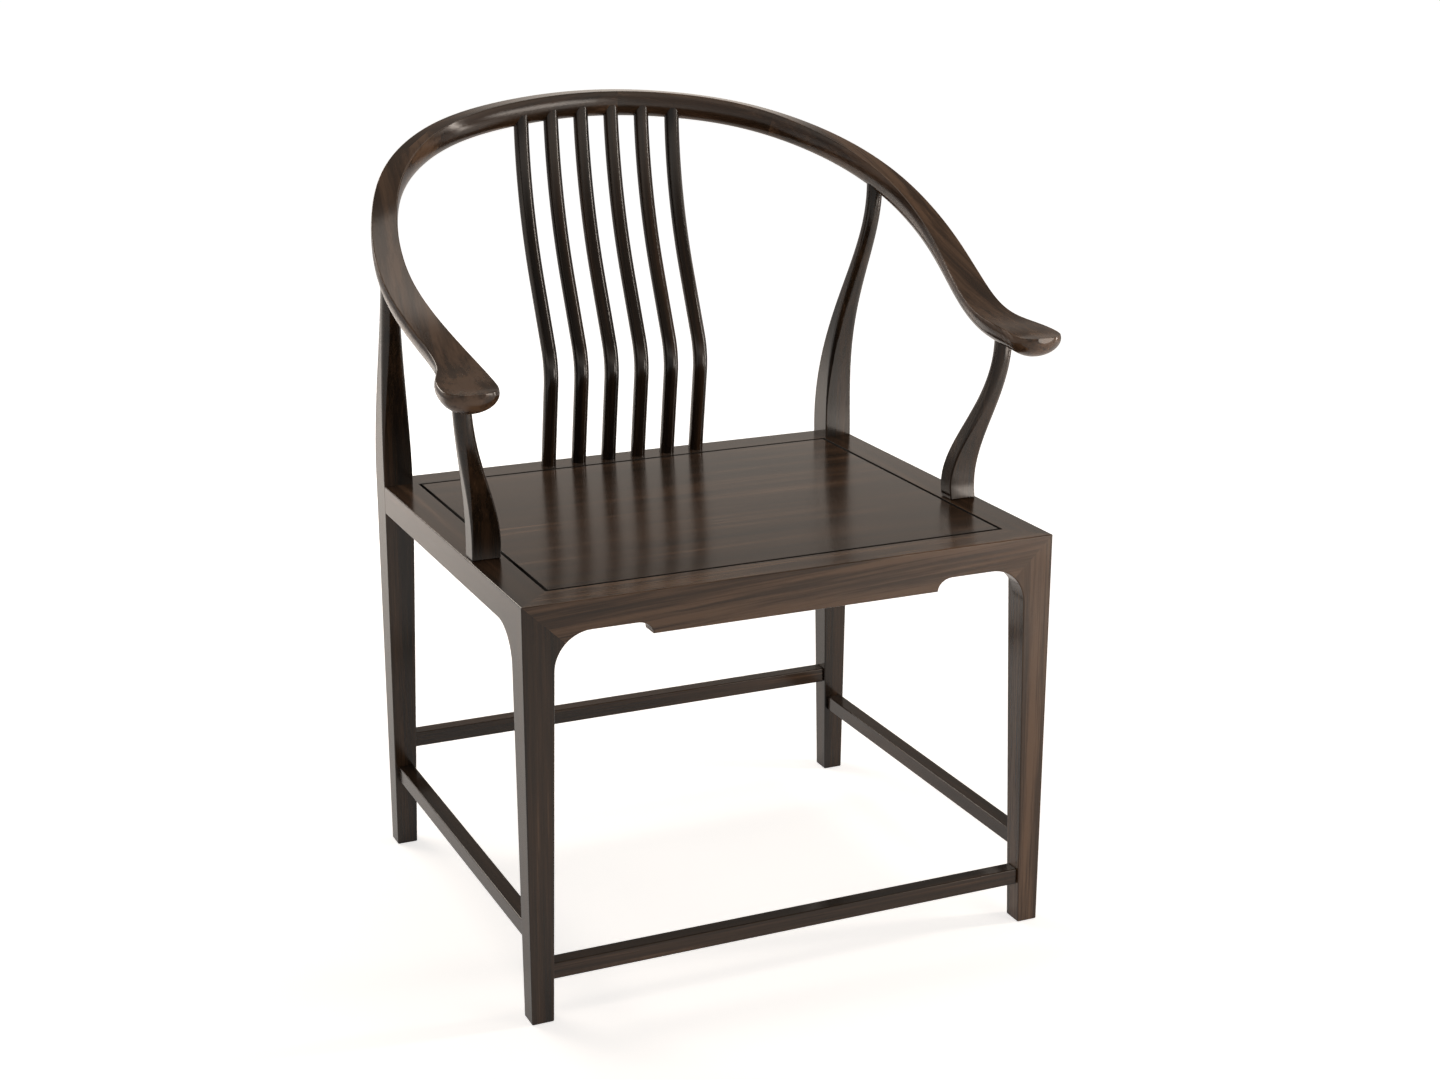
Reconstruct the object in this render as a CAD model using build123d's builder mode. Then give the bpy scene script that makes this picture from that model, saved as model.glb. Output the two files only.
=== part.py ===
from build123d import *
import os
from math import cos, radians, sin

os.makedirs("parts", exist_ok=True)

# Horseshoe back armchair, millimetres.
# The origin is on the floor under the middle of the whole chair. +Z is up, the sitter faces -Y,
# and left and right are as seen from the front, so left is -X.

# ---- Seat frame
seat_width = 600.0
seat_depth = 508.0
seat_height = 452.0
member_width = 39.0
member_height = 32.5
arris = 1.2
groove_arris = 0.6
fit = 0.1

# ---- Seat panel, loose in a groove, and the battens that keep it flat
panel_gap = 3.5
panel_thickness = 14.0
tongue_drop = 5.0
tongue_thickness = 6.0
tongue_length = 7.0
tongue_room = 1.5
tongue_clip = 12.0
batten_count = 2
batten_spacing = 230.0
batten_width = 24.0
batten_height = 20.0
dovetail_height = 3.0
dovetail_flare = 2.0
batten_tenon_width = 14.0
batten_tenon_height = 10.0
batten_tenon_length = 8.0

# ---- Legs
leg_top = 34.0
leg_foot = 24.0
foot_bevel = 1.0
spandrel_radius = 40.0
spandrel_thickness = 22.0
apron_drop = 13.7
apron_length = 323.0
apron_cove = 17.5

# ---- Corner joints of the seat frame
leg_tenon = 7.0
leg_tenon_near = 12.5
leg_tenon_far = 22.5
leg_tenon_cover = 8.0
mitre_tenon_width = 8.0
mitre_tenon_height = 10.0
mitre_tenon_length = 10.0
mitre_tenon_cover = 13.0
mitre_tenon_inset = 3.0
rail_tenon_width = 14.0
rail_tenon_height = 9.0
rail_tenon_length = 20.0
side_tenon_cover = 5.0
rear_tenon_cover = 20.0

# ---- Stretchers, each pair a step above the last so that their tenons clear each other
stretcher_size = 18.0
stretcher_tenon = 10.0
stretcher_tenon_length = 14.0
stretcher_bevel = 1.0
front_stretcher_height = 55.0
stretcher_step = 38.0

# ---- Crest rail: the bow that is back and arms in one
rail_overhang = 73.0
rail_height = 427.0
arm_height = 200.0
arm_setback = 59.0
arm_outreach = 25.3
rail_width = 26.0
rail_depth = 29.5
rail_tuck_angle = 18.0
rail_edge = 1.2
palm_width = 57.0
palm_depth = 26.0
palm_length = 30.0
palm_fullness = 2.6
palm_turn = 78.0
palm_steps = 4
scarf_length = 50.0
scarf_place = 0.33
pin_size = 7.0
pin_cover = 5.0

# ---- Posts under the crest rail
arm_post_width = 31.0
arm_post_thickness = 22.0
arm_post_inset = 3.0
arm_post_setback = 171.0
arm_post_lean = 38.0
arm_post_top = 19.0
rear_post_lean = 78.0
rear_post_top = 18.0
post_pin = 12.0
post_pin_length = 16.0
foot_tenon_width = 18.0
foot_tenon_thickness = 10.0
foot_tenon_length = 16.0

# ---- Spindles of the back
spindle_count = 6
spindle_spacing = 38.0
spindle_diameter = 17.5
spindle_inset = 20.0
spindle_housing = 12.0
belly_forward = 18.0
belly_height = 122.5
belly_radius = 80.0
shoulder_back = 25.0
shoulder_height = 215.0
spindle_head_forward = 4.0

# ---- Places that follow from the sizes above
left = -seat_width / 2
front = -(seat_depth + rail_overhang) / 2
back = front + seat_depth
soffit = seat_height - member_height
inner_left = left + member_width
inner_front = front + member_width
inner_back = back - member_width
side_stretcher_height = front_stretcher_height + stretcher_step
rear_stretcher_height = side_stretcher_height + stretcher_step
batten_places = [batten_spacing * (i - (batten_count - 1) / 2) for i in range(batten_count)]
spindle_places = [spindle_spacing * (i - (spindle_count - 1) / 2) for i in range(spindle_count)]

# Faces that outlines are drawn on, with their first axis running inward from the corner
front_face = Plane((left, front, 0), x_dir=(1, 0, 0), z_dir=(0, -1, 0))
side_face = Plane((left, front, 0), x_dir=(0, 1, 0), z_dir=(1, 0, 0))

# Mitre planes of the corners. The first three meet in the front corner's top point.
front_corner = (left, front, seat_height)
leg_front_mitre = Plane(front_corner, x_dir=(0, 1, 0), z_dir=(member_height, 0, leg_top))
leg_side_mitre = Plane(front_corner, x_dir=(1, 0, 0), z_dir=(0, member_height, leg_top))
front_mitre = Plane(front_corner, x_dir=(0, 0, 1), z_dir=(1, -1, 0))
rear_mitre = Plane((left, back, seat_height), x_dir=(0, 0, 1), z_dir=(1, 1, 0))


def leg_thickness(z):
    """Thickness of a leg at a height. Its outer faces are upright, its inner ones taper."""
    return leg_foot + (leg_top - leg_foot) * z / soffit


def block(low, high, play=0.0):
    """A box between two corners, grown by the play on every side."""
    size = [b - a + 2 * play for a, b in zip(low, high)]
    middle = [(a + b) / 2 for a, b in zip(low, high)]
    return Pos(*middle) * Box(*size, mode=Mode.PRIVATE)


def write(part, name):
    """Label a finished piece and write it as its own STEP file."""
    part.label = name
    export_step(part, f"parts/{name}.step")


# ---- Tenons. Each is made once here: added to its own piece, and cut from the other with play.


def leg_tenons(play=0.0):
    """The two stub tenons on a front leg's mitred head, one into each rail."""
    top = seat_height - leg_tenon_cover
    tenons = []
    for a, b in ((leg_tenon_far, leg_tenon_near), (leg_tenon_near, leg_tenon_far)):
        low = (left + a - leg_tenon / 2, front + b - leg_tenon / 2, soffit)
        high = (left + a + leg_tenon / 2, front + b + leg_tenon / 2, top)
        tenons.append(block(low, high, play))
    return tenons


def mitre_tenon(play=0.0):
    """The front rail's tenon, which crosses the top mitre into the side rail."""
    inner = member_width - mitre_tenon_inset
    outer = inner - mitre_tenon_width
    top = seat_height - mitre_tenon_cover
    low = (left + outer - mitre_tenon_length, front + outer, top - mitre_tenon_height)
    return block(low, (left + inner, front + inner, top), play)


def rear_rail_tenon(play=0.0):
    """The rear rail's tenon in the rear leg, low enough to pass under the side rail's."""
    middle = back - leg_top / 2
    top = seat_height - rear_tenon_cover
    low = (left + leg_top - rail_tenon_length, middle - rail_tenon_width / 2, top - rail_tenon_height)
    return block(low, (inner_left, middle + rail_tenon_width / 2, top), play)


def side_rail_tenon(play=0.0):
    """The side rail's tenon in the rear leg."""
    middle = left + leg_top / 2
    top = seat_height - side_tenon_cover
    low = (middle - rail_tenon_width / 2, inner_back, top - rail_tenon_height)
    high = (middle + rail_tenon_width / 2, back - leg_top + rail_tenon_length, top)
    return block(low, high, play)


def batten_tenons(play=0.0):
    """The tenons of the battens, each one bar from the front rail through to the rear rail."""
    middle = seat_height - panel_thickness - batten_height / 2
    low_y = inner_front - batten_tenon_length
    high_y = inner_back + batten_tenon_length
    low_z = middle - batten_tenon_height / 2
    high_z = middle + batten_tenon_height / 2
    tenons = []
    for place in batten_places:
        low = (place - batten_tenon_width / 2, low_y, low_z)
        tenons.append(block(low, (place + batten_tenon_width / 2, high_y, high_z), play))
    return tenons


def cross_tenons(height, leg_middle, play=0.0):
    """Both tenons of a stretcher that runs left to right, as one bar."""
    reach = left + leg_thickness(height) - stretcher_tenon_length
    half = stretcher_tenon / 2
    return block((reach, leg_middle - half, height - half), (-reach, leg_middle + half, height + half), play)


def side_tenons(play=0.0):
    """Both tenons of the left stretcher, as one bar from front to back."""
    height = side_stretcher_height
    middle = left + leg_thickness(height) / 2
    reach = leg_thickness(height) - stretcher_tenon_length
    half = stretcher_tenon / 2
    low = (middle - half, front + reach, height - half)
    return block(low, (middle + half, back - reach, height + half), play)


def foot_tenon(play=0.0):
    """The left arm post's tenon in the side rail."""
    x, y = arm_post_base
    low = (x - foot_tenon_width / 2, y - foot_tenon_thickness / 2, seat_height - foot_tenon_length)
    high = (x + foot_tenon_width / 2, y + foot_tenon_thickness / 2, seat_height)
    return block(low, high, play)


def tongue_groove():
    """The groove round the frame's inner edge that holds the seat panel's tongue."""
    reach = tongue_length + tongue_room
    top = seat_height - tongue_drop + fit
    low = (inner_left - reach, inner_front - reach, top - tongue_thickness - 2 * fit)
    return block(low, (reach - inner_left, inner_back + reach, top))


front_stretcher_middle = front + leg_thickness(front_stretcher_height) / 2
rear_stretcher_middle = back - leg_thickness(rear_stretcher_height) / 2
arm_post_base = (left + arm_post_inset + arm_post_width / 2, front + arm_post_setback)
rear_post_base = (left + leg_top / 2, back - leg_top / 2)

# ---- Crest rail: its centreline, and the whole bow before it is cut and drilled

# Stations of the right half from the middle of the back to the palm, as shares: how far out, how
# far back, how high, how much of the palm's extra width, and how much of its lesser depth.
rail_stations = (
    (0.000, 1.000, 1.000, 0.00, 0.00),
    (0.307, 0.985, 0.974, -0.02, 0.00),
    (0.584, 0.937, 0.901, -0.04, 0.10),
    (0.815, 0.815, 0.762, -0.02, 0.20),
    (0.958, 0.639, 0.555, 0.03, 0.35),
    (1.000, 0.482, 0.337, 0.16, 0.70),
    (0.968, 0.305, 0.142, 0.33, 1.10),
    (0.954, 0.163, 0.044, 0.58, 1.20),
    (0.978, 0.059, 0.012, 1.00, 1.00),
)
rail_half_width = rail_width / 2 / cos(radians(rail_tuck_angle))
apex = back + rail_overhang - rail_half_width
arm_end = front + arm_setback
half_span = seat_width / 2 + arm_outreach


def rail_point(out, along, up):
    """A point of the right half's centreline, on the rail's top, from its shares."""
    y = arm_end + along * (apex - arm_end)
    z = seat_height + arm_height + up * (rail_height - arm_height)
    return Vector(out * half_span, y, z)


rail_points = [rail_point(*station[:3]) for station in rail_stations]
palm_tip = rail_point(rail_stations[-1][0], 0, 0)
rail_line = Spline(*rail_points, palm_tip, tangents=((1, 0, 0), (0, -1, -0.06)))


def rail_plane(share):
    """The plane across the bow: x outward, y up, z along from left to right.

    The share runs along the right half's length, and is negative on the left half.
    """
    place = rail_line.position_at(abs(share))
    ahead = rail_line.tangent_at(abs(share))
    if share < 0:
        place = Vector(-place.X, place.Y, place.Z)
        ahead = Vector(ahead.X, -ahead.Y, -ahead.Z)
    return Plane(place, x_dir=Vector(0, 0, 1).cross(ahead), z_dir=ahead)


def share_at(y, low=0.0, high=1.0):
    """The share of the right half's length where the centreline comes forward to y."""
    for _ in range(40):
        middle = (low + high) / 2
        if rail_line.position_at(middle).Y > y:
            low = middle
        else:
            high = middle
    return low


def share_across(x, low=0.0, high=0.5):
    """The share of the right half's length where the centreline is x out from the middle."""
    for _ in range(40):
        middle = (low + high) / 2
        if rail_line.position_at(middle).X < x:
            low = middle
        else:
            high = middle
    return low


def half_sections():
    """Share, width of the flat, depth and edge radius of each section of the right half."""
    sections = []
    for point, station in zip(rail_points, rail_stations):
        flat = rail_width + (palm_width - rail_width) * station[3]
        depth = rail_depth + (palm_depth - rail_depth) * station[4]
        sections.append((rail_line.param_at_point(point), flat, depth, rail_edge))
    for step in range(1, palm_steps + 1):
        turn = radians(palm_turn * step / palm_steps)
        ahead = palm_length * sin(turn) ** (2 / palm_fullness)
        narrow = cos(turn) ** (2 / palm_fullness)
        share = share_at(arm_end + palm_length - ahead)
        sections.append((share, palm_width * narrow, palm_depth * cos(turn), rail_edge * narrow))
    return sections


right_sections = half_sections()
left_sections = [(-section[0], *section[1:]) for section in reversed(right_sections[1:])]
with BuildPart() as bow:
    for share, flat, depth, edge in left_sections + right_sections:
        with BuildSketch(rail_plane(share)) as section:
            # A flat top over a half ellipse that is widest a little below it
            tuck = radians(rail_tuck_angle)
            across = flat / 2 / cos(tuck)
            below = depth / (1 + sin(tuck))
            middle = (0, -below * sin(tuck))
            with BuildLine():
                EllipticalCenterArc(
                    middle, across, below, 180 - rail_tuck_angle, arc_size=180 + 2 * rail_tuck_angle
                )
                Line((flat / 2, 0), (-flat / 2, 0))
            make_face()
            fillet(section.vertices(), edge)
    loft()


def post_head(y, depth):
    """Where a left post ends inside the bow: on its centreline, half its depth down."""
    plane = rail_plane(-share_at(y))
    return plane.origin - plane.y_dir * (depth / 2)


def post_pin_solid(head, play=0.0):
    """The round pin on a post's head, upright in the bow."""
    middle = head - Vector(0, 0, post_pin_length / 2)
    length = post_pin_length + rail_depth / 2
    return Pos(*middle) * Cylinder(post_pin / 2 + play, length, mode=Mode.PRIVATE)


rear_head = post_head(rear_post_base[1] - rear_post_lean, rail_depth)
arm_head = post_head(arm_post_base[1] - arm_post_lean, palm_depth)

# ---- Legs

# Shares of a post's height, of its lean, of its slimming, and of its rounding, foot to head
rear_post_curve = (
    (0.00, 0.00, 0.00, 0.00),
    (0.25, 0.05, 0.19, 0.16),
    (0.50, 0.34, 0.60, 0.58),
    (0.75, 0.80, 0.91, 0.90),
    (1.00, 1.00, 1.00, 0.90),
)
arm_post_curve = (
    (0.00, 0.00, 0.00, 0.00),
    (0.25, 0.09, 0.13, 0.16),
    (0.50, 0.52, 0.64, 0.58),
    (0.75, 0.90, 0.93, 0.90),
    (1.00, 1.00, 1.00, 0.90),
)


def post_sections(base, foot, head, foot_size, head_size, curve):
    """Height, centre, width, thickness and corner radius of each section of a post."""
    for height, lean, slim, rounding in curve:
        x = base[0] + (head.X - base[0]) * lean
        y = base[1] + (head.Y - base[1]) * lean
        width = foot_size[0] + (head_size - foot_size[0]) * slim
        thickness = foot_size[1] + (head_size - foot_size[1]) * slim
        radius = arris + (min(width, thickness) / 2 - arris) * rounding
        yield foot + (head.Z - foot) * height, (x, y), width, thickness, radius


with BuildPart() as rear_left_leg:
    for height, side in ((0, leg_foot), (soffit, leg_top)):
        with BuildSketch(Plane.XY.offset(height)):
            with Locations((left, back)):
                RectangleRounded(side, side, arris, align=(Align.MIN, Align.MAX))
    loft(ruled=True)
    chamfer(rear_left_leg.faces().sort_by(Axis.Z)[0].edges(), foot_bevel)
    with BuildSketch(Plane.XY.offset(soffit)):
        with Locations((left, back)):
            RectangleRounded(leg_top, leg_top, arris, align=(Align.MIN, Align.MAX))
    extrude(amount=member_height)
    foot_size = (leg_top, leg_top)
    for height, centre, width, thickness, radius in post_sections(
        rear_post_base, seat_height, rear_head, foot_size, rear_post_top, rear_post_curve
    ):
        with BuildSketch(Plane.XY.offset(height)):
            with Locations(centre):
                RectangleRounded(width, thickness, radius)
    loft()
    add(bow.part, mode=Mode.SUBTRACT)
    add(post_pin_solid(rear_head))
    add(rear_rail_tenon(fit), mode=Mode.SUBTRACT)
    add(side_rail_tenon(fit), mode=Mode.SUBTRACT)
    add(side_tenons(fit), mode=Mode.SUBTRACT)
    add(cross_tenons(rear_stretcher_height, rear_stretcher_middle, fit), mode=Mode.SUBTRACT)


def spandrel():
    """The quarter round between a leg's inner face and the rail's underside, with a strip of each."""
    low = soffit - 2 * spandrel_radius
    high = soffit + member_height / 2
    far = leg_top + 2 * spandrel_radius
    toe = (leg_thickness(low), low)
    with BuildLine() as outline:
        FilletPolyline(toe, (leg_top, soffit), (far, soffit), radius=spandrel_radius)
        Polyline((far, soffit), (far, high), (leg_foot / 2, high), (leg_foot / 2, low), toe)
    make_face(outline.edges())


leg_outline = ((0, 0), (leg_foot, 0), (leg_top, soffit), (0, soffit))
with BuildPart() as front_left_leg:
    with BuildSketch(front_face):
        Polygon(*leg_outline, align=None)
    extrude(amount=-leg_top)
    with BuildSketch(side_face):
        Polygon(*leg_outline, align=None)
    extrude(amount=leg_top, mode=Mode.INTERSECT)
    long_edges = front_left_leg.edges().filter_by_position(Axis.Z, 0, soffit, inclusive=(False, False))
    fillet(long_edges.sort_by(Axis.X)[-2:].sort_by(Axis.Y)[-1], arris)
    with BuildSketch(Plane.XY.offset(soffit)):
        with Locations((left, front)):
            Rectangle(leg_top, leg_top, align=(Align.MIN, Align.MIN))
    extrude(amount=member_height)
    outer_edge = front_left_leg.edges().filter_by(Axis.Z).group_by(Axis.X)[0]
    fillet(outer_edge.group_by(Axis.Y)[0], arris)
    with BuildSketch(front_face):
        spandrel()
    extrude(amount=-spandrel_thickness)
    with BuildSketch(side_face):
        spandrel()
    extrude(amount=spandrel_thickness)
    split(bisect_by=leg_front_mitre, keep=Keep.BOTTOM)
    split(bisect_by=leg_side_mitre, keep=Keep.BOTTOM)
    for outward, inward in ((Axis.X, Axis.Y), (Axis.Y, Axis.X)):
        outer_face = front_left_leg.faces().sort_by(outward)[0]
        fillet(outer_face.edges().sort_by(inward)[-2:], arris)
    chamfer(front_left_leg.faces().sort_by(Axis.Z)[0].edges(), foot_bevel)
    add(leg_tenons())
    add(side_tenons(fit), mode=Mode.SUBTRACT)
    add(cross_tenons(front_stretcher_height, front_stretcher_middle, fit), mode=Mode.SUBTRACT)

# ---- Seat frame


def lower_outline(face, along, corner):
    """The edges below a rail's outer face, from the spandrel on."""
    beyond_leg = face.edges().filter_by_position(along, corner + leg_top, corner + seat_width)
    return beyond_leg.filter_by_position(Axis.Z, 0, soffit + fit)


with BuildPart() as front_seat_rail:
    with BuildSketch(front_face):
        with Locations((0, soffit)):
            Rectangle(seat_width / 2, member_height, align=Align.MIN)
    extrude(amount=-member_width)
    top_edges = front_seat_rail.edges().filter_by(Axis.X).group_by(Axis.Z)[-1].sort_by(Axis.Y)
    fillet(top_edges[0], arris)
    fillet(top_edges[1], groove_arris)
    with BuildSketch(front_face):
        spandrel()
        # The deeper middle of the rail, which rises to the underside in a cove
        with BuildLine():
            start = seat_width / 2 - apron_length / 2
            EllipticalCenterArc((start - apron_cove, soffit - apron_drop), apron_cove, apron_drop, 0)
            Polyline(
                (start, soffit - apron_drop),
                (seat_width / 2, soffit - apron_drop),
                (seat_width / 2, soffit),
                (start - apron_cove, soffit),
            )
        make_face()
    extrude(amount=-spandrel_thickness)
    outer_face = front_seat_rail.faces().sort_by(Axis.Y)[0]
    fillet(lower_outline(outer_face, Axis.X, left), arris)
    split(bisect_by=leg_front_mitre, keep=Keep.TOP)
    split(bisect_by=front_mitre, keep=Keep.TOP)
    add(mitre_tenon())
    add(leg_tenons(fit), mode=Mode.SUBTRACT)
    add(tongue_groove(), mode=Mode.SUBTRACT)
    add(batten_tenons(fit), mode=Mode.SUBTRACT)
    mirror(about=Plane.YZ)

with BuildPart() as left_seat_rail:
    with BuildSketch(side_face):
        with Locations((0, soffit)):
            Rectangle(seat_depth, member_height, align=Align.MIN)
    extrude(amount=member_width)
    top_edges = left_seat_rail.edges().filter_by(Axis.Y).group_by(Axis.Z)[-1].sort_by(Axis.X)
    fillet(top_edges[0], arris)
    fillet(top_edges[1], groove_arris)
    with BuildSketch(side_face):
        spandrel()
    extrude(amount=spandrel_thickness)
    outer_face = left_seat_rail.faces().sort_by(Axis.X)[0]
    fillet(lower_outline(outer_face, Axis.Y, front), arris)
    split(bisect_by=leg_side_mitre, keep=Keep.TOP)
    split(bisect_by=front_mitre, keep=Keep.BOTTOM)
    split(bisect_by=rear_mitre, keep=Keep.BOTTOM)
    add(block((left, back - leg_top, soffit), (left + leg_top, back, seat_height)), mode=Mode.SUBTRACT)
    add(side_rail_tenon())
    add(mitre_tenon(fit), mode=Mode.SUBTRACT)
    add(leg_tenons(fit), mode=Mode.SUBTRACT)
    add(tongue_groove(), mode=Mode.SUBTRACT)
    add(foot_tenon(fit), mode=Mode.SUBTRACT)

with BuildPart() as rear_seat_rail:
    with BuildSketch(Plane.XY.offset(soffit)):
        with Locations((left, back)):
            Rectangle(seat_width / 2, member_width, align=(Align.MIN, Align.MAX))
    extrude(amount=member_height)
    long_edges = rear_seat_rail.edges().filter_by(Axis.X)
    fillet(long_edges.group_by(Axis.Y)[-1], arris)
    fillet(long_edges.group_by(Axis.Y)[0].sort_by(Axis.Z)[-1], groove_arris)
    split(bisect_by=rear_mitre, keep=Keep.TOP)
    add(block((left, back - leg_top, soffit), (left + leg_top, back, seat_height)), mode=Mode.SUBTRACT)
    add(rear_rail_tenon())
    add(tongue_groove(), mode=Mode.SUBTRACT)
    add(batten_tenons(fit), mode=Mode.SUBTRACT)
    mirror(about=Plane.YZ)

# ---- Seat panel and battens

panel_top = (seat_width - 2 * (member_width + panel_gap), seat_depth - 2 * (member_width + panel_gap))
tongue_outline = (
    seat_width - 2 * (member_width - tongue_length),
    seat_depth - 2 * (member_width - tongue_length),
)
seat_middle = (0, (front + back) / 2)
dovetail_top = seat_height - panel_thickness + dovetail_height


def batten_face(place):
    """The plane at a batten's front end, with its middle at zero."""
    return Plane((place, inner_front, 0), x_dir=(1, 0, 0), z_dir=(0, -1, 0))


def batten_section(play=0.0):
    """Half a batten's end, from its middle: a bar whose top flares into the panel's underside."""
    shoulder = seat_height - panel_thickness
    half = batten_width / 2
    return (
        (0, dovetail_top + play),
        (half + play, dovetail_top + play),
        (half + play - dovetail_flare, shoulder),
        (half, shoulder),
        (half, shoulder - batten_height),
        (0, shoulder - batten_height),
    )


with BuildPart() as seat_panel:
    with BuildSketch(Plane.XY.offset(seat_height)):
        with Locations(seat_middle):
            Rectangle(*panel_top)
    extrude(amount=-panel_thickness)
    fillet(seat_panel.faces().sort_by(Axis.Z)[-1].edges(), groove_arris)
    with BuildSketch(Plane.XY.offset(seat_height - tongue_drop)):
        with Locations(seat_middle):
            tongue = Rectangle(*tongue_outline)
        chamfer(tongue.vertices(), tongue_clip)
    extrude(amount=-tongue_thickness)
    for place in batten_places:
        with BuildSketch(batten_face(place)):
            Polygon(*batten_section(fit), align=None)
            mirror(about=Plane.YZ)
        extrude(amount=inner_front - inner_back, mode=Mode.SUBTRACT)

for number, (place, tenon) in enumerate(zip(batten_places, batten_tenons()), start=1):
    with BuildPart() as batten:
        with BuildSketch(batten_face(place)):
            Polygon(*batten_section(), align=None)
            mirror(about=Plane.YZ)
        extrude(amount=inner_front - inner_back)
        add(tenon)
    write(batten.part, f"panel_batten_{number}")

# ---- Stretchers


def stretcher_outline(height, run):
    """A stretcher between two legs a run apart, its ends cut to the legs' taper."""
    low = height - stretcher_size / 2
    high = height + stretcher_size / 2
    low_end = leg_thickness(low)
    high_end = leg_thickness(high)
    return (low_end, low), (high_end, high), (run - high_end, high), (run - low_end, low)


for name, height, leg_middle in (
    ("front_stretcher", front_stretcher_height, front_stretcher_middle),
    ("rear_stretcher", rear_stretcher_height, rear_stretcher_middle),
):
    with BuildPart() as cross_stretcher:
        with BuildSketch(Plane((left, leg_middle, 0), x_dir=(1, 0, 0), z_dir=(0, -1, 0))):
            Polygon(*stretcher_outline(height, seat_width), align=None)
        extrude(amount=stretcher_size / 2, both=True)
        fillet(cross_stretcher.edges().filter_by(Axis.X), arris)
        ends = cross_stretcher.faces().sort_by(Axis.X)
        chamfer(ends[0].edges() + ends[-1].edges(), stretcher_bevel)
        add(cross_tenons(height, leg_middle))
    write(cross_stretcher.part, name)

with BuildPart() as left_stretcher:
    middle = left + leg_thickness(side_stretcher_height) / 2
    with BuildSketch(Plane((middle, front, 0), x_dir=(0, 1, 0), z_dir=(1, 0, 0))):
        Polygon(*stretcher_outline(side_stretcher_height, seat_depth), align=None)
    extrude(amount=stretcher_size / 2, both=True)
    fillet(left_stretcher.edges().filter_by(Axis.Y), arris)
    ends = left_stretcher.faces().sort_by(Axis.Y)
    chamfer(ends[0].edges() + ends[-1].edges(), stretcher_bevel)
    add(side_tenons())

# ---- Arm posts

with BuildPart() as left_arm_post:
    foot = seat_height + foot_bevel
    foot_size = (arm_post_width, arm_post_thickness)
    for height, bevel in ((seat_height, foot_bevel), (foot, 0)):
        with BuildSketch(Plane.XY.offset(height)):
            with Locations(arm_post_base):
                RectangleRounded(arm_post_width - 2 * bevel, arm_post_thickness - 2 * bevel, arris)
    loft(ruled=True)
    for height, centre, width, thickness, radius in post_sections(
        arm_post_base, foot, arm_head, foot_size, arm_post_top, arm_post_curve
    ):
        with BuildSketch(Plane.XY.offset(height)):
            with Locations(centre):
                RectangleRounded(width, thickness, radius)
    loft()
    add(bow.part, mode=Mode.SUBTRACT)
    add(post_pin_solid(arm_head))
    add(foot_tenon())

# ---- Spindles: each a bent rod between the rear rail and the bow, in one upright plane

spindle_base = back - spindle_inset


def spindle_rod(place, play=0.0):
    """A spindle, or with play the hole that it fills at both ends."""
    head = rail_plane(share_across(abs(place)))
    top = head.origin - head.y_dir * (rail_depth - spindle_housing)
    end = (place, top.Y - spindle_head_forward, top.Z)
    belly = Vector(place, spindle_base - belly_forward, seat_height + belly_height)
    shoulder = Vector(place, spindle_base + shoulder_back, seat_height + shoulder_height)
    slope = belly_forward / belly_height
    foot = Vector(place, spindle_base + slope * spindle_housing, seat_height - spindle_housing)
    path = FilletPolyline(foot, belly, shoulder, radius=belly_radius)
    path += TangentArc(shoulder, end, tangent=shoulder - belly)
    circle = Plane(foot, z_dir=belly - foot) * Circle(spindle_diameter / 2 + play)
    return sweep(circle, path=path)


spindles = [spindle_rod(place) for place in spindle_places]
spindle_holes = [spindle_rod(place, fit) for place in spindle_places]
for number, rod in enumerate(spindles, start=1):
    with BuildPart() as spindle:
        add(rod)
    write(spindle.part, f"spindle_{number}")

# ---- Crest rail members, lapped side by side and pinned from the outside

centre_joint = rail_plane(0.0)
right_joint = rail_plane(scarf_place)
left_joint = rail_plane(-scarf_place)


def scarf_pin(joint):
    """A square pin through a scarf, from the bow's outer face to just short of its inner one."""
    half = rail_width / 2
    low = Vector(pin_cover - half, -rail_depth / 2 - pin_size / 2, -pin_size / 2)
    high = Vector(rail_width, low.Y + pin_size, pin_size / 2)
    return joint * block(low, high)


def beyond_scarf(joint, far, turn):
    """All that lies past a scarf: the inner half of the lap starts early, the outer half late."""
    lap = scarf_length / 2 * turn
    face = Plane(joint.origin, x_dir=joint.z_dir, z_dir=joint.y_dir)
    outline = Polygon((-lap, -far), (far, -far), (far, far), (lap, far), (lap, 0), (-lap, 0), align=None)
    return extrude(face * outline, far, both=True)


pins = [scarf_pin(joint) for joint in (left_joint, centre_joint, right_joint)]
with BuildPart() as drilled_bow:
    add(bow.part)
    add(spindle_holes, mode=Mode.SUBTRACT)
    for head in (rear_head, arm_head):
        hole = post_pin_solid(head, fit)
        add(hole, mode=Mode.SUBTRACT)
        add(mirror(hole, about=Plane.YZ, mode=Mode.PRIVATE), mode=Mode.SUBTRACT)
    add(pins, mode=Mode.SUBTRACT)
right_of_centre = beyond_scarf(centre_joint, seat_width, -1)
right_arm_part = beyond_scarf(right_joint, seat_width, 1)
left_arm_part = mirror(right_arm_part, about=Plane.YZ)

with BuildPart() as crest_rail_right_back:
    add(drilled_bow.part)
    add(right_of_centre, mode=Mode.INTERSECT)
    add(right_arm_part, mode=Mode.SUBTRACT)

with BuildPart() as crest_rail_left_back:
    add(drilled_bow.part)
    add(right_of_centre, mode=Mode.SUBTRACT)
    add(left_arm_part, mode=Mode.SUBTRACT)

with BuildPart() as crest_rail_right_arm:
    add(drilled_bow.part)
    add(right_of_centre, mode=Mode.INTERSECT)
    add(right_arm_part, mode=Mode.INTERSECT)

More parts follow.
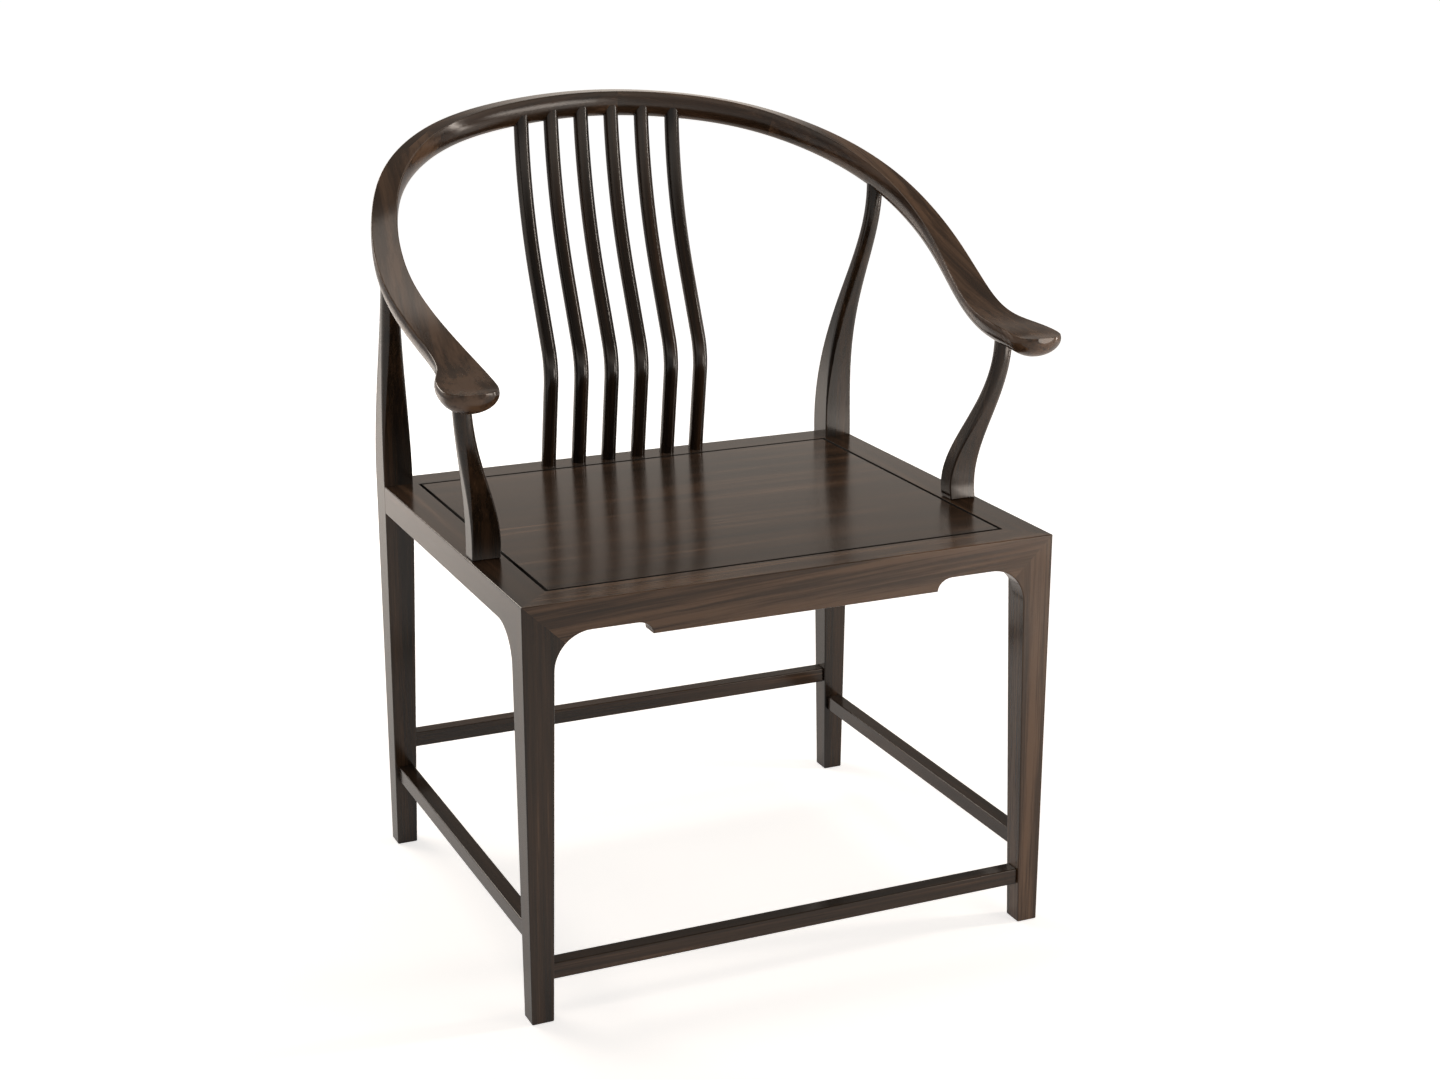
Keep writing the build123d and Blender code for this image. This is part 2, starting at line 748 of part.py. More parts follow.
for name, pin in zip(("left_scarf_pin", "centre_scarf_pin", "right_scarf_pin"), pins):
    with BuildPart() as scarf_pin_part:
        add(pin)
        add(bow.part, mode=Mode.INTERSECT)
    write(scarf_pin_part.part, name)

with BuildPart() as drilled_rear_rail:
    add(rear_seat_rail.part)
    add(spindle_holes, mode=Mode.SUBTRACT)

# ---- Output: pairs are modelled on the left, or on the right for the arm, and mirrored

for name, piece in {
    "front_left_leg": front_left_leg,
    "rear_left_leg": rear_left_leg,
    "left_seat_rail": left_seat_rail,
    "left_stretcher": left_stretcher,
    "left_arm_post": left_arm_post,
    "crest_rail_right_arm": crest_rail_right_arm,
}.items():
    sides = ("left", "right") if "left" in name else ("right", "left")
    write(mirror(piece.part, about=Plane.YZ), name.replace(*sides))
    write(piece.part, name)

write(front_seat_rail.part, "front_seat_rail")
write(drilled_rear_rail.part, "rear_seat_rail")
write(seat_panel.part, "seat_panel")
write(crest_rail_left_back.part, "crest_rail_left_back")
write(crest_rail_right_back.part, "crest_rail_right_back")
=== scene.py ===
import bpy
import math
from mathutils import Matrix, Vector


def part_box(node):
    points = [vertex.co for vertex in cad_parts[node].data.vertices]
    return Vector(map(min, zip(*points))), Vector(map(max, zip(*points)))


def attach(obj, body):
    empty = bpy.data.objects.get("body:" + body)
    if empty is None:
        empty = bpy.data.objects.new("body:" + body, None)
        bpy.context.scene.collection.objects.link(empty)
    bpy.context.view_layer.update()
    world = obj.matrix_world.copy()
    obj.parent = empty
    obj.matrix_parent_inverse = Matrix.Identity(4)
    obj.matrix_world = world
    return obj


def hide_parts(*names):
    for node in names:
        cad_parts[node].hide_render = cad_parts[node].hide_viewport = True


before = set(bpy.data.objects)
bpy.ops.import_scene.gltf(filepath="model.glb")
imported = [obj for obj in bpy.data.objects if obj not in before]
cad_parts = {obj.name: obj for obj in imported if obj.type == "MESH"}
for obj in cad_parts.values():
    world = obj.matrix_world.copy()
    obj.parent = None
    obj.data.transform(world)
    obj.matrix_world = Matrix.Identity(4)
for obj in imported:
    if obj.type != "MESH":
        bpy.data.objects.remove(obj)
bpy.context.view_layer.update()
print("frame loaded:", len(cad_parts), "pieces")

mm = 0.001                              # metres


def hexToLinear(code):
    # "#rrggbb" in sRGB to Blender's linear colour
    parts = [int(code[i:i + 2], 16) / 255 for i in (1, 3, 5)]
    return [p / 12.92 if p <= 0.04045 else ((p + 0.055) / 1.055) ** 2.4 for p in parts] + [1]


def addNode(tree, kind, settings=None, sockets=None):
    # one node with its settings, and its sockets either linked or given a value
    node = tree.nodes.new(kind)
    for name, value in (settings or {}).items():
        setattr(node, name, value)
    for socket, source in (sockets or {}).items():
        if isinstance(source, bpy.types.NodeSocket):
            tree.links.new(source, node.inputs[socket])
        else:
            node.inputs[socket].default_value = source
    return node


# The wood: a dark stained hardwood under a satin lacquer that was rubbed down. Warm streaks show faintly
# through the stain, and edges and tops catch soft reflections of the room.

wood = {
    "darkLine": "#140e0a",      # latewood lines, where the stain sits thick
    "ground": "#281e15",        # most of the surface
    "redStreak": "#433123",     # where the stain took less
    "paleStreak": "#6a523f",    # a few of the lightest bands
    "ringWidth": 7.0,           # mm between growth rings on a sawn face
    "pithAway": 90.0,           # mm from the board's middle to the tree's
    "pithAside": 40.5,          # and to one side of it
    "waver": 9.0,               # mm that a ring strays from its circle
    "waverLength": 260.0,       # mm along the grain
    "waverWidth": 260.0 / 6,    # and across it
    "bandWidth": 16.0,          # mm across a broad band of colour
    "bandLength": 420.0,
    "streakWidth": 2.6,         # mm across a thin streak
    "streakLength": 120.0,
    "streakDetail": 4,
    "streakRoughness": 0.6,
    "fibreWidth": 0.8,          # mm, coarser than life so that it shows
    "fibreLength": 40.0,
    # how much each pattern has to say in where the stain is thin, and the value they are added to
    "bandShare": 0.90,
    "streakShare": 0.60,
    "crestStreaks": 0.5,        # of which the crest rail shows this much
    "ringShare": 0.07,
    "fibreShare": 0.14,
    "start": -0.20,
    # where on the way from thick stain to thin each colour lies
    "tones": (("darkLine", 0.38), ("ground", 0.56), ("redStreak", 0.82), ("paleStreak", 1.0)),
    # along one growth ring from 0 to 1, how pale it is
    "ringTones": ((0, 0.30), (0.25, 0.75), (0.65, 0.6), (0.9, 0.2), (1, 0.30)),
    "roughness": 0.18,
    "openFibre": 0.04,          # duller where the fibres stand open
    "closedFibre": 0.03,        # and shinier where they are closed
    "fibreRange": (0.3, 0.7),   # of the fibres' noise
    "ior": 1.5,
    "relief": 0.003,            # mm that the grain shows through the finish
    "reliefStrength": 0.5,
}

# The groove round the seat panel, painted near-black as shade in the recess, and duller so that nothing
# shines

grooveShade = {
    # painted shade: the near-black that the groove is coloured
    "colour": "#070504",
    "lip": 0.1,                 # mm under the seat's face where the dark starts
    "depth": 9.0,               # mm from there down
    "tongue": 7.0,              # mm that the panel's hidden tongue runs into the frame
    "reach": 2.0,               # mm into the frame's inner faces
    "duller": 0.6,              # roughness on top of the wood's
}


def grooveShadeMask(tree, place):
    # 1 in the groove between the seat panel and the frame round it, where the shade is painted
    panelLow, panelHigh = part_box("seat_panel")
    tongue = (grooveShade["tongue"] - grooveShade["reach"]) * mm
    size = panelHigh - panelLow
    middle = (panelLow + panelHigh) / 2
    top = panelHigh.z - grooveShade["lip"] * mm
    half = grooveShade["depth"] * mm / 2
    split = addNode(tree, "ShaderNodeSeparateXYZ", None, {0: place})
    inside = [
        addNode(tree, "ShaderNodeMath", {"operation": "COMPARE"}, {
            0: split.outputs[axis], 1: centre, 2: reach}).outputs[0]
        for axis, centre, reach in (
            ("X", middle.x, size.x / 2 - tongue),
            ("Y", middle.y, size.y / 2 - tongue),
            ("Z", top - half, half))]
    plan = addNode(tree, "ShaderNodeMath", {"operation": "MULTIPLY"}, {0: inside[0], 1: inside[1]})
    return addNode(tree, "ShaderNodeMath", {"operation": "MULTIPLY", "name": "grooveShadeMask"}, {
        0: plan.outputs[0], 1: inside[2]})


def woodMaterial(name, grain, shift, stainAndLight=0.0, pathAttribute=None, figure=1.0):
    # grain is the direction it runs in, shift moves to another board, the third number makes that board
    # paler or darker, for its stain and in some boards as painted light, a bent piece reads its own path
    # instead of its place, and figure calms the streaks
    material = bpy.data.materials.new(name)
    material.use_nodes = True
    tree = material.node_tree
    tree.nodes.clear()
    if pathAttribute:
        place = addNode(tree, "ShaderNodeAttribute", {"attribute_name": pathAttribute})
        board = addNode(tree, "ShaderNodeMapping", {"name": "board"}, {
            "Vector": place.outputs["Vector"], "Scale": (1 / mm, 1 / mm, 1 / mm)})
    else:
        turn = Vector(grain).to_track_quat("X", "Z").inverted().to_euler()
        place = addNode(tree, "ShaderNodeTexCoord")
        board = addNode(tree, "ShaderNodeMapping", {"name": "board"}, {
            "Vector": place.outputs["Object"], "Rotation": turn, "Scale": (1 / mm, 1 / mm, 1 / mm)})
    moved = addNode(tree, "ShaderNodeVectorMath", {"operation": "ADD", "name": "whichBoard"}, {
        0: board.outputs[0], 1: shift})

    def stretched(name, along, across, detail=2, rough=0.5):
        # noise in the board's millimetres, drawn out along the grain
        scaled = addNode(tree, "ShaderNodeVectorMath", {"operation": "MULTIPLY", "name": name + "Size"}, {
            0: moved.outputs[0], 1: (1 / along, 1 / across, 1 / across)})
        return addNode(tree, "ShaderNodeTexNoise", {"name": name}, {
            "Vector": scaled.outputs[0], "Scale": 1.0, "Detail": detail, "Roughness": rough})

    # growth rings about a pith that lies beside the board, wavering along its length
    waver = stretched("waver", wood["waverLength"], wood["waverWidth"])
    centred = addNode(tree, "ShaderNodeVectorMath", {"operation": "SUBTRACT"}, {
        0: waver.outputs["Color"], 1: (0.5, 0.5, 0.5)})
    pushed = addNode(tree, "ShaderNodeVectorMath", {"operation": "MULTIPLY_ADD"}, {
        0: centred.outputs[0], 1: (0, 2 * wood["waver"], 2 * wood["waver"]), 2: moved.outputs[0]})
    across = addNode(tree, "ShaderNodeVectorMath", {"operation": "MULTIPLY_ADD"}, {
        0: pushed.outputs[0], 1: (0, 1, 1), 2: (0, wood["pithAside"], wood["pithAway"])})
    fromPith = addNode(tree, "ShaderNodeVectorMath", {"operation": "LENGTH"}, {0: across.outputs[0]})
    ring = addNode(tree, "ShaderNodeMath", {"operation": "DIVIDE"}, {
        0: fromPith.outputs["Value"], 1: wood["ringWidth"]})
    ringShare = addNode(tree, "ShaderNodeMath", {"operation": "FRACT"}, {0: ring.outputs[0]})
    # each ring darkens slowly and ends in a dark line
    ringTone = addNode(tree, "ShaderNodeFloatCurve", {"name": "ringTone"}, {"Value": ringShare.outputs[0]})
    points = ringTone.mapping.curves[0].points
    points[0].location, *between, points[1].location = wood["ringTones"]
    for along, tone in between:
        points.new(along, tone)
    ringTone.mapping.update()

    band = stretched("band", wood["bandLength"], wood["bandWidth"])
    streak = stretched(
        "streak", wood["streakLength"], wood["streakWidth"], wood["streakDetail"], wood["streakRoughness"])
    fibre = stretched("fibre", wood["fibreLength"], wood["fibreWidth"])

    # how little stain a place took, with painted light on some boards: broad bands first, then streaks,
    # rings and fibres
    pale = wood["start"] + stainAndLight + wood["streakShare"] / 2 * (1 - figure)
    for part, source, share in (
            ("bandShare", band.outputs["Fac"], wood["bandShare"]),
            ("streakShare", streak.outputs["Fac"], wood["streakShare"] * figure),
            ("ringShare", ringTone.outputs[0], wood["ringShare"]),
            ("fibreShare", fibre.outputs["Fac"], wood["fibreShare"])):
        pale = addNode(tree, "ShaderNodeMath", {"operation": "MULTIPLY_ADD", "name": part}, {
            0: source, 1: share, 2: pale}).outputs[0]
    stain = addNode(tree, "ShaderNodeValToRGB", {"name": "stain"}, {"Fac": pale})
    ends = stain.color_ramp.elements
    first, *between, last = wood["tones"]
    for end, (tone, position) in zip(ends, (first, last)):
        end.position, end.color = position, hexToLinear(wood[tone])
    for tone, position in between:
        ends.new(position).color = hexToLinear(wood[tone])

    # the shine is a touch duller where the fibres stand open
    gloss = addNode(tree, "ShaderNodeMapRange", {"name": "gloss"}, {
        "Value": fibre.outputs["Fac"],
        "From Min": wood["fibreRange"][0], "From Max": wood["fibreRange"][1],
        "To Min": wood["roughness"] + wood["openFibre"],
        "To Max": wood["roughness"] - wood["closedFibre"]})
    bump = addNode(tree, "ShaderNodeBump", {"name": "grainRelief"}, {
        "Height": fibre.outputs["Fac"],
        "Strength": wood["reliefStrength"], "Distance": wood["relief"] * mm})
    colour, dull = stain.outputs["Color"], gloss.outputs[0]
    # painted shade: the groove round the seat panel is coloured near-black, and its shine dulled
    if name.endswith(("seat_panel", "seat_rail")):
        mask = grooveShadeMask(tree, place.outputs["Object"])
        shadedGroove = addNode(tree, "ShaderNodeMix", {"data_type": "RGBA"}, {
            "Factor": mask.outputs[0], "A": colour, "B": hexToLinear(grooveShade["colour"])})
        duller = addNode(tree, "ShaderNodeMath", {"operation": "MULTIPLY_ADD"}, {
            0: mask.outputs[0], 1: grooveShade["duller"], 2: dull})
        colour, dull = shadedGroove.outputs["Result"], duller.outputs[0]
    shader = addNode(tree, "ShaderNodeBsdfPrincipled", {"name": "satinWood"}, {
        "Base Color": colour, "Roughness": dull, "IOR": wood["ior"], "Normal": bump.outputs[0]})
    addNode(tree, "ShaderNodeOutputMaterial", None, {"Surface": shader.outputs[0]})
    return material


def crestGrain(side):
    # an arm member is sawn from a straight plank, so its grain runs from the scarf to the palm
    low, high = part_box(f"crest_rail_{side}_arm")
    outward = -0.55 if side == "left" else 0.55     # of its width, because it bows past both of its ends
    return outward * (high.x - low.x), -(high.y - low.y), -(high.z - low.z)


# One board for each piece: the way its grain runs, its share of stain and of painted light, and its place
# in the tree

alongX, alongY, alongZ = (1, 0, 0), (0, 1, 0), (0, 0, 1)
grainOf = {                         # all other pieces stand upright
    "seat_panel": alongX, "front_seat_rail": (1, 0, 0.05), "rear_seat_rail": alongX,
    "front_stretcher": alongX, "rear_stretcher": alongX,
    "crest_rail_left_back": (1, 0.2, 0.2), "crest_rail_right_back": (1, -0.2, -0.2),
    "crest_rail_left_arm": crestGrain("left"), "crest_rail_right_arm": crestGrain("right"),
    "left_seat_rail": alongY, "right_seat_rail": alongY,
    "left_stretcher": alongY, "right_stretcher": alongY,
    "panel_batten_1": alongY, "panel_batten_2": alongY,
    "centre_scarf_pin": alongY, "left_scarf_pin": (1, -0.6, 0), "right_scarf_pin": (1, 0.6, 0),
}
stainAndLightOn = {                     # boards that took less stain than most, or more where it is below 0. Several are painted light as well: the front rail and the front right leg are paler for the light from the front and right, and the left arm post and rear legs darker for their shade
    "front_seat_rail": 0.24, "front_right_leg": 0.20, "seat_panel": 0.08,
    "front_left_leg": 0.06, "left_arm_post": -0.08, "rear_left_leg": -0.08, "rear_right_leg": -0.08,
    "crest_rail_left_arm": 0.24, "crest_rail_left_back": 0.13, "crest_rail_right_back": 0.14,
    "crest_rail_right_arm": 0.24, "left_seat_rail": 0.05, "right_seat_rail": 0.08,
}
boardStep = (230.0, 61.0, 37.0)     # mm from one piece's place in the tree to the next one's
treeSize = 900                      # mm, after which the places start over
for number, (name, node) in enumerate(sorted(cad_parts.items())):
    material = woodMaterial(
        "satinWood_" + name, grainOf.get(name, alongZ), [step * number % treeSize for step in boardStep],
        stainAndLightOn.get(name, 0.0), figure=wood["crestStreaks"] if name.startswith("crest_rail") else 1.0)
    node.data.materials.clear()
    node.data.materials.append(material)
print("wood: one board for each of", len(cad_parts), "pieces")


# The spindles: six bent rods whose grain follows the bend

spindles = {
    "footInset": 20.0,          # mm from the rear rail's back edge to the middle of a foot
    "bellyForward": 18.0,       # mm that the belly stands in front of the foot
    "bellyHeight": 122.5,       # mm over the seat
    "bellyRadius": 80.0,
    "shoulderBack": 25.0,       # mm that the shoulder stands behind the foot
    "shoulderHeight": 215.0,
    "rings": 120,               # along a rod
    "sides": 32,                # round it
    "pathSteps": 48,            # between two knots of the path
    "stainAndLight": -0.12,         # they took more stain than most boards
    "place": (310.0, 0.0, 40.0),    # mm, where in the tree they were cut from,
    "boardsApart": 7.0,         # this many times further apart than the rods stand
}
spindleNodes = sorted(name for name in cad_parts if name.startswith("spindle_"))
firstLow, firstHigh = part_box(spindleNodes[0])
middleLow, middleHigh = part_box(spindleNodes[len(spindleNodes) // 2])
rodRadius = (firstHigh.x - firstLow.x) / 2
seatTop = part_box("seat_panel")[1].z
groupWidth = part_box(spindleNodes[-1])[1].x - firstLow.x - 2 * rodRadius


def arcPull(radius, angle):
    # how long the handles of an arc of this radius and angle are
    return radius * math.tan(angle / 4) * 4 / 3


def spindlePath():
    # foot, round belly, straight neck, and one long arc from the shoulder up into the crest rail
    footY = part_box("rear_seat_rail")[1].y - spindles["footInset"] * mm
    belly = Vector((0, footY - spindles["bellyForward"] * mm, seatTop + spindles["bellyHeight"] * mm))
    up = (belly - Vector((0, footY, seatTop))).normalized()
    foot = belly - up * (belly.z - middleLow.z) / up.z
    shoulder = Vector((
        0, footY + spindles["shoulderBack"] * mm, seatTop + spindles["shoulderHeight"] * mm))
    head = Vector((0, middleHigh.y - rodRadius, middleHigh.z))
    over = (shoulder - belly).normalized()
    turn = up.angle(over)
    radius = spindles["bellyRadius"] * mm
    reach, pull = radius * math.tan(turn / 2), arcPull(radius, turn)
    chord = head - shoulder
    half = over.angle(chord)
    sweep = arcPull(chord.length / 2 / math.sin(half), 2 * half)
    last = (2 * over.project(chord) - over).normalized()
    knots = (
        (foot, up * reach, up * reach), (belly - up * reach, up * reach, up * pull),
        (belly + over * reach, over * pull, over * reach), (shoulder, over * reach, over * sweep),
        (head, last * sweep, last * reach))
    curve = bpy.data.curves.new("spindlePath", "CURVE")
    curve.dimensions, curve.resolution_u = "3D", spindles["pathSteps"]
    spline = curve.splines.new("BEZIER")
    spline.bezier_points.add(len(knots) - 1)
    for point, (place, before, after) in zip(spline.bezier_points, knots):
        point.co, point.handle_left, point.handle_right = place, place - before, place + after
    return bpy.data.objects.new("spindles", curve), shoulder, head


def spindleTree():
    # a path in, a row of rods out
    tree = bpy.data.node_groups.new("bentRods", "GeometryNodeTree")
    for name, kind in (
            ("Path", "Geometry"), ("Count", "Int"), ("Spacing", "Float"), ("Radius", "Float"),
            ("Rings", "Int"), ("Sides", "Int"), ("Shoulder Height", "Float"), ("Head Height", "Float"),
            ("End Drop", "Vector"), ("Material", "Material")):
        tree.interface.new_socket(name, in_out="INPUT", socket_type="NodeSocket" + kind)
    tree.interface.new_socket("Rods", in_out="OUTPUT", socket_type="NodeSocketGeometry")
    given = addNode(tree, "NodeGroupInput").outputs

    # a row of copies of the path, centred on the chair
    gaps = addNode(tree, "ShaderNodeMath", {"operation": "SUBTRACT"}, {0: given["Count"], 1: 1.0})
    width = addNode(tree, "ShaderNodeMath", {"operation": "MULTIPLY"}, {
        0: gaps.outputs[0], 1: given["Spacing"]})
    half = addNode(tree, "ShaderNodeMath", {"operation": "MULTIPLY"}, {0: width.outputs[0], 1: 0.5})
    first = addNode(tree, "ShaderNodeMath", {"operation": "MULTIPLY"}, {0: width.outputs[0], 1: -0.5})
    start = addNode(tree, "ShaderNodeCombineXYZ", None, {"X": first.outputs[0]})
    step = addNode(tree, "ShaderNodeCombineXYZ", None, {"X": given["Spacing"]})
    row = addNode(tree, "GeometryNodeMeshLine", None, {
        "Count": given["Count"], "Start Location": start.outputs[0], "Offset": step.outputs[0]})
    rings = addNode(tree, "GeometryNodeResampleCurve", None, {
        "Curve": given["Path"], "Count": given["Rings"]})
    copies = addNode(tree, "GeometryNodeInstanceOnPoints", None, {
        "Points": row.outputs[0], "Instance": rings.outputs[0]})
    paths = addNode(tree, "GeometryNodeRealizeInstances", None, {0: copies.outputs[0]})

    # above the shoulder the outer rods come forward and end lower, under the bow of the crest rail
    place = addNode(tree, "GeometryNodeInputPosition")
    split = addNode(tree, "ShaderNodeSeparateXYZ", None, {0: place.outputs[0]})
    out = addNode(tree, "ShaderNodeMath", {"operation": "DIVIDE"}, {
        0: split.outputs["X"], 1: half.outputs[0]})
    outSquared = addNode(tree, "ShaderNodeMath", {"operation": "POWER"}, {0: out.outputs[0], 1: 2.0})
    rise = addNode(tree, "ShaderNodeMapRange", None, {
        "Value": split.outputs["Z"],
        "From Min": given["Shoulder Height"], "From Max": given["Head Height"]})
    riseSquared = addNode(tree, "ShaderNodeMath", {"operation": "POWER"}, {0: rise.outputs[0], 1: 2.0})
    share = addNode(tree, "ShaderNodeMath", {"operation": "MULTIPLY"}, {
        0: outSquared.outputs[0], 1: riseSquared.outputs[0]})
    shift = addNode(tree, "ShaderNodeVectorMath", {"operation": "SCALE"}, {
        0: given["End Drop"], "Scale": share.outputs[0]})
    bent = addNode(tree, "GeometryNodeSetPosition", None, {
        "Geometry": paths.outputs[0], "Offset": shift.outputs[0]})

    # round rods, each with its own place in the wood along and across its path
    along = addNode(tree, "GeometryNodeSplineParameter")
    kept = addNode(tree, "GeometryNodeCaptureAttribute", None, {"Geometry": bent.outputs[0]})
    kept.capture_items.new("FLOAT", "length")
    kept.capture_items.new("FLOAT", "board")
    tree.links.new(along.outputs["Length"], kept.inputs["length"])
    tree.links.new(split.outputs["X"], kept.inputs["board"])
    ring = addNode(tree, "GeometryNodeCurvePrimitiveCircle", None, {
        "Resolution": given["Sides"], "Radius": given["Radius"]})
    around = addNode(tree, "GeometryNodeCaptureAttribute", None, {"Geometry": ring.outputs[0]})
    around.capture_items.new("VECTOR", "across")
    tree.links.new(place.outputs[0], around.inputs["across"])
    rods = addNode(tree, "GeometryNodeCurveToMesh", None, {
        "Curve": kept.outputs[0], "Profile Curve": around.outputs[0], "Fill Caps": True})
    across = addNode(tree, "ShaderNodeSeparateXYZ", None, {0: around.outputs["across"]})
    board = addNode(tree, "ShaderNodeMath", {"operation": "MULTIPLY_ADD"}, {
        0: kept.outputs["board"], 1: spindles["boardsApart"], 2: across.outputs["X"]})
    grain = addNode(tree, "ShaderNodeCombineXYZ", None, {
        "X": kept.outputs["length"], "Y": board.outputs[0], "Z": across.outputs["Y"]})
    stored = {"data_type": "FLOAT_VECTOR", "domain": "POINT"}
    grained = addNode(tree, "GeometryNodeStoreNamedAttribute", stored, {
        "Geometry": rods.outputs[0], "Name": "grainPath", "Value": grain.outputs[0]})
    smooth = addNode(tree, "GeometryNodeSetShadeSmooth", None, {"Geometry": grained.outputs[0]})
    plain = addNode(tree, "GeometryNodeRealizeInstances", None, {0: smooth.outputs[0]})
    finished = addNode(tree, "GeometryNodeSetMaterial", None, {
        "Geometry": plain.outputs[0], "Material": given["Material"]})
    addNode(tree, "NodeGroupOutput", None, {0: finished.outputs[0]})
    return tree


def makeSpindles():
    # in place of the six plain ones, as one mesh
    path, shoulder, head = spindlePath()
    bpy.context.scene.collection.objects.link(path)
    tree = spindleTree()
    values = {
        "Count": len(spindleNodes), "Spacing": groupWidth / (len(spindleNodes) - 1), "Radius": rodRadius,
        "Rings": spindles["rings"], "Sides": spindles["sides"],
        "Shoulder Height": shoulder.z, "Head Height": head.z,
        "End Drop": (0.0, firstHigh.y - middleHigh.y, firstHigh.z - middleHigh.z),
        "Material": woodMaterial(
            "satinWood_spindles", alongZ, spindles["place"], spindles["stainAndLight"], "grainPath"),
    }
    modifier = path.modifiers.new("bentRods", "NODES")
    modifier.node_group = tree
    for socket in tree.interface.items_tree:
        if socket.name in values:
            modifier[socket.identifier] = values[socket.name]
    mesh = bpy.data.meshes.new_from_object(path.evaluated_get(bpy.context.evaluated_depsgraph_get()))
    rods = bpy.data.objects.new("bentSpindles", mesh)
    bpy.context.scene.collection.objects.link(rods)
    path.modifiers.remove(modifier)
    bpy.data.objects.remove(path)
    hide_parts(*spindleNodes)
    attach(rods, "root")
    return len(mesh.polygons)


print("spindles:", makeSpindles(), "faces on", len(spindleNodes), "rods")


# The studio: a white floor that meets a white wall, and a dimmer ceiling

studio = {
    "floorColour": "#f4f3f2",
    "floorHalf": 60.0,          # metres from the chair to the floor's edge, which is out of sight
    "floorNear": 0.68,          # what the camera sees on top of the lit floor, so that it is white:
    "nearEnough": 0.5,          # up to this many metres, where the chair's shadow stays,
    "floorFar": 0.92,
    "farAway": 2.2,             # and from this many metres on
    "floorForShine": 0.30,      # what the wood's shine sees on top of it
    "roomColour": "#fff3e7",    # warm white
    "wallHeight": 0.05,         # sine of the elevation up to which the wall is white
    "wallBlend": 0.35,          # and over which it fades into the ceiling
    "ceiling": 0.20,            # brightness overhead against the wall's
    "diffuseLight": 0.50,       # the room's brightness as it lights the wood
    "lamps": {
        # name: place, aim, width, height, watts
        "rightStrip": ((1.9, -0.6, 0.9), (0, 0.1, 0.6), 0.16, 1.9, 16),
        "leftFloor": ((-1.3, 2.2, 1.6), (-1.2, 1.9, 0), 1.6, 1.6, 45),
        "rightFront": ((1.0, -1.3, 0.32), (0.1, -0.3, 0.30), 0.7, 0.4, 5),
        "top": ((0.3, 0.2, 2.8), (0, 0, 0.5), 1.6, 1.6, 13),
    },
}


def makeLamps():
    for name, (place, aim, width, height, watts) in studio["lamps"].items():
        lamp = bpy.data.lights.new(name, "AREA")
        lamp.shape = "RECTANGLE"
        lamp.size, lamp.size_y, lamp.energy = width, height, watts
        lamp.color = hexToLinear(studio["roomColour"])[:3]
        holder = bpy.data.objects.new(name, lamp)
        holder.location = place
        holder.rotation_euler = (Vector(aim) - Vector(place)).to_track_quat("-Z", "Y").to_euler()
        holder.visible_camera = False
        bpy.context.scene.collection.objects.link(holder)


def lookedAt(tree):
    # 1 for what is seen directly, in a shine or through glass, 0 for what only lights the wood
    path = addNode(tree, "ShaderNodeLightPath")
    shine = addNode(tree, "ShaderNodeMath", {"operation": "MAXIMUM"}, {
        0: path.outputs["Is Camera Ray"], 1: path.outputs["Is Glossy Ray"]})
    through = addNode(tree, "ShaderNodeMath", {"operation": "MAXIMUM"}, {
        0: shine.outputs[0], 1: path.outputs["Is Transmission Ray"]})
    return path, through.outputs[0]


def makeFloor():
    half = studio["floorHalf"]
    mesh = bpy.data.meshes.new("floor")
    corners = [(-half, -half, 0), (half, -half, 0), (half, half, 0), (-half, half, 0)]
    mesh.from_pydata(corners, [], [(0, 1, 2, 3)])
    floor = bpy.data.objects.new("floor", mesh)
    bpy.context.scene.collection.objects.link(floor)
    material = bpy.data.materials.new("paleFloor")
    material.use_nodes = True
    tree = material.node_tree
    tree.nodes.clear()
    path, looked = lookedAt(tree)
    matt = addNode(tree, "ShaderNodeBsdfDiffuse", None, {"Color": hexToLinear(studio["floorColour"])})
    shine = addNode(tree, "ShaderNodeMath", {"operation": "MULTIPLY"}, {
        0: looked, 1: studio["floorForShine"]})
    place = addNode(tree, "ShaderNodeTexCoord")
    away = addNode(tree, "ShaderNodeVectorMath", {"operation": "LENGTH"}, {0: place.outputs["Object"]})
    lifted = addNode(tree, "ShaderNodeMapRange", {"interpolation_type": "SMOOTHSTEP"}, {
        "Value": away.outputs["Value"], "From Min": studio["nearEnough"], "From Max": studio["farAway"],
        "To Min": studio["floorNear"], "To Max": studio["floorFar"]})
    seen = addNode(tree, "ShaderNodeMix", {"data_type": "FLOAT"}, {
        "Factor": path.outputs["Is Camera Ray"], "A": shine.outputs[0], "B": lifted.outputs[0]})
    lift = addNode(tree, "ShaderNodeEmission", None, {"Color": (1, 1, 1, 1), "Strength": seen.outputs[0]})
    both = addNode(tree, "ShaderNodeAddShader", None, {0: matt.outputs[0], 1: lift.outputs[0]})
    addNode(tree, "ShaderNodeOutputMaterial", None, {"Surface": both.outputs[0]})
    mesh.materials.append(material)


